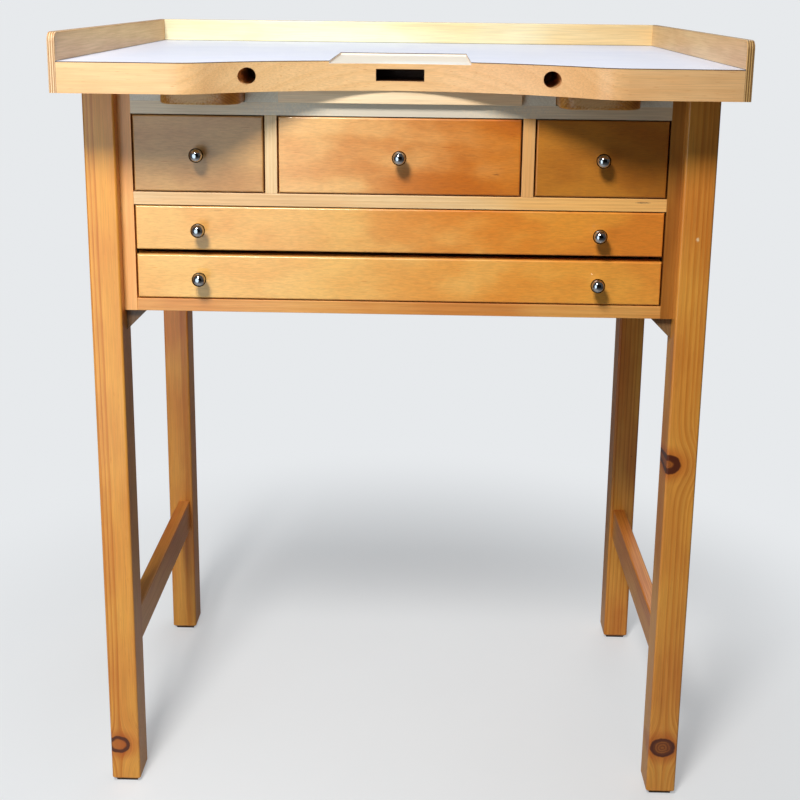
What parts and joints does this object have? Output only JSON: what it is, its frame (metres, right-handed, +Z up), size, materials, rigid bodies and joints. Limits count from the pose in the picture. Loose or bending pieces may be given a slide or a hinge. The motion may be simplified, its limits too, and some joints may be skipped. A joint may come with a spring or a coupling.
{
  "type": "jewelers bench",
  "caption": "Jeweller's bench with a lipped laminate worktop, concave front, mandrel holes, bench-pin slot, drawer cabinet, pull-out arm rests and catch tray on square legs.",
  "frame": {"origin": "on the floor, under the middle of the bench's box", "axes": "+X to the right, +Y to the back, +Z up; the drawers and the concave edge face -Y"},
  "size_m": [0.8, 0.6, 1.023],
  "materials": {
    "worktop_beech": "satin lacquer",
    "white_laminate": "glossy high-pressure laminate",
    "lip_plywood": "satin lacquer",
    "pine": "satin lacquer",
    "foot_felt": "matte",
    "cabinet_wood": "satin lacquer",
    "panel_plywood": "plain",
    "arm_rest_wood": "oiled",
    "drawer_front_wood": "glossy lacquer",
    "drawer_box_wood": "plain",
    "knob_chrome": "polished",
    "screw_steel": "zinc plated",
    "tray_aluminium": "brushed"
  },
  "bodies": {
    "bench": {"worktop_board": "worktop_beech", "worktop_laminate": "white_laminate", "left_lip": "lip_plywood", "right_lip": "lip_plywood", "back_lip": "lip_plywood", "front_left_leg": "pine", "front_right_leg": "pine", "rear_left_leg": "pine", "rear_right_leg": "pine", "left_stretcher": "pine", "right_stretcher": "pine", "corner_blocks": "pine", "foot_glides": "foot_felt", "cabinet_left_side": "cabinet_wood", "cabinet_right_side": "cabinet_wood", "cabinet_top": "cabinet_wood", "cabinet_shelf": "cabinet_wood", "cabinet_bottom": "cabinet_wood", "left_divider": "cabinet_wood", "right_divider": "cabinet_wood", "left_arm_guides": "cabinet_wood", "right_arm_guides": "cabinet_wood", "wide_drawer_runners": "cabinet_wood", "cabinet_back": "panel_plywood", "leg_bolts": "screw_steel", "worktop_screws": "screw_steel"},
    "left_drawer": {"left_drawer_front": "drawer_front_wood", "left_drawer_sides": "drawer_box_wood", "left_drawer_back": "drawer_box_wood", "left_drawer_bottom": "panel_plywood", "left_drawer_knob": "knob_chrome", "left_drawer_screw": "screw_steel"},
    "centre_drawer": {"centre_drawer_front": "drawer_front_wood", "centre_drawer_sides": "drawer_box_wood", "centre_drawer_back": "drawer_box_wood", "centre_drawer_bottom": "panel_plywood", "centre_drawer_knob": "knob_chrome", "centre_drawer_screw": "screw_steel"},
    "right_drawer": {"right_drawer_front": "drawer_front_wood", "right_drawer_sides": "drawer_box_wood", "right_drawer_back": "drawer_box_wood", "right_drawer_bottom": "panel_plywood", "right_drawer_knob": "knob_chrome", "right_drawer_screw": "screw_steel"},
    "upper_wide_drawer": {"upper_wide_drawer_front": "drawer_front_wood", "upper_wide_drawer_sides": "drawer_box_wood", "upper_wide_drawer_back": "drawer_box_wood", "upper_wide_drawer_bottom": "panel_plywood", "upper_wide_drawer_knobs": "knob_chrome", "upper_wide_drawer_screws": "screw_steel"},
    "lower_wide_drawer": {"lower_wide_drawer_front": "drawer_front_wood", "lower_wide_drawer_sides": "drawer_box_wood", "lower_wide_drawer_back": "drawer_box_wood", "lower_wide_drawer_bottom": "panel_plywood", "lower_wide_drawer_knobs": "knob_chrome", "lower_wide_drawer_screws": "screw_steel"},
    "catch_tray": {"tray_front": "cabinet_wood", "tray_pan": "tray_aluminium"},
    "left_arm": {"left_arm_rest": "arm_rest_wood"},
    "right_arm": {"right_arm_rest": "arm_rest_wood"}
  },
  "joints": [
    {"name": "left_drawer_slide", "type": "slide", "parent": "bench", "child": "left_drawer", "axis": [0, -1, 0], "range_m": [0, 0.32]},
    {"name": "centre_drawer_slide", "type": "slide", "parent": "bench", "child": "centre_drawer", "axis": [0, -1, 0], "range_m": [0, 0.32]},
    {"name": "right_drawer_slide", "type": "slide", "parent": "bench", "child": "right_drawer", "axis": [0, -1, 0], "range_m": [0, 0.32]},
    {"name": "upper_wide_drawer_slide", "type": "slide", "parent": "bench", "child": "upper_wide_drawer", "axis": [0, -1, 0], "range_m": [0, 0.32]},
    {"name": "lower_wide_drawer_slide", "type": "slide", "parent": "bench", "child": "lower_wide_drawer", "axis": [0, -1, 0], "range_m": [0, 0.32]},
    {"name": "catch_tray_slide", "type": "slide", "parent": "bench", "child": "catch_tray", "axis": [0, -1, 0], "range_m": [0, 0.28]},
    {"name": "left_arm_slide", "type": "slide", "parent": "bench", "child": "left_arm", "axis": [0, -1, 0], "range_m": [0, 0.25]},
    {"name": "right_arm_slide", "type": "slide", "parent": "bench", "child": "right_arm", "axis": [0, -1, 0], "range_m": [0, 0.25]}
  ]
}
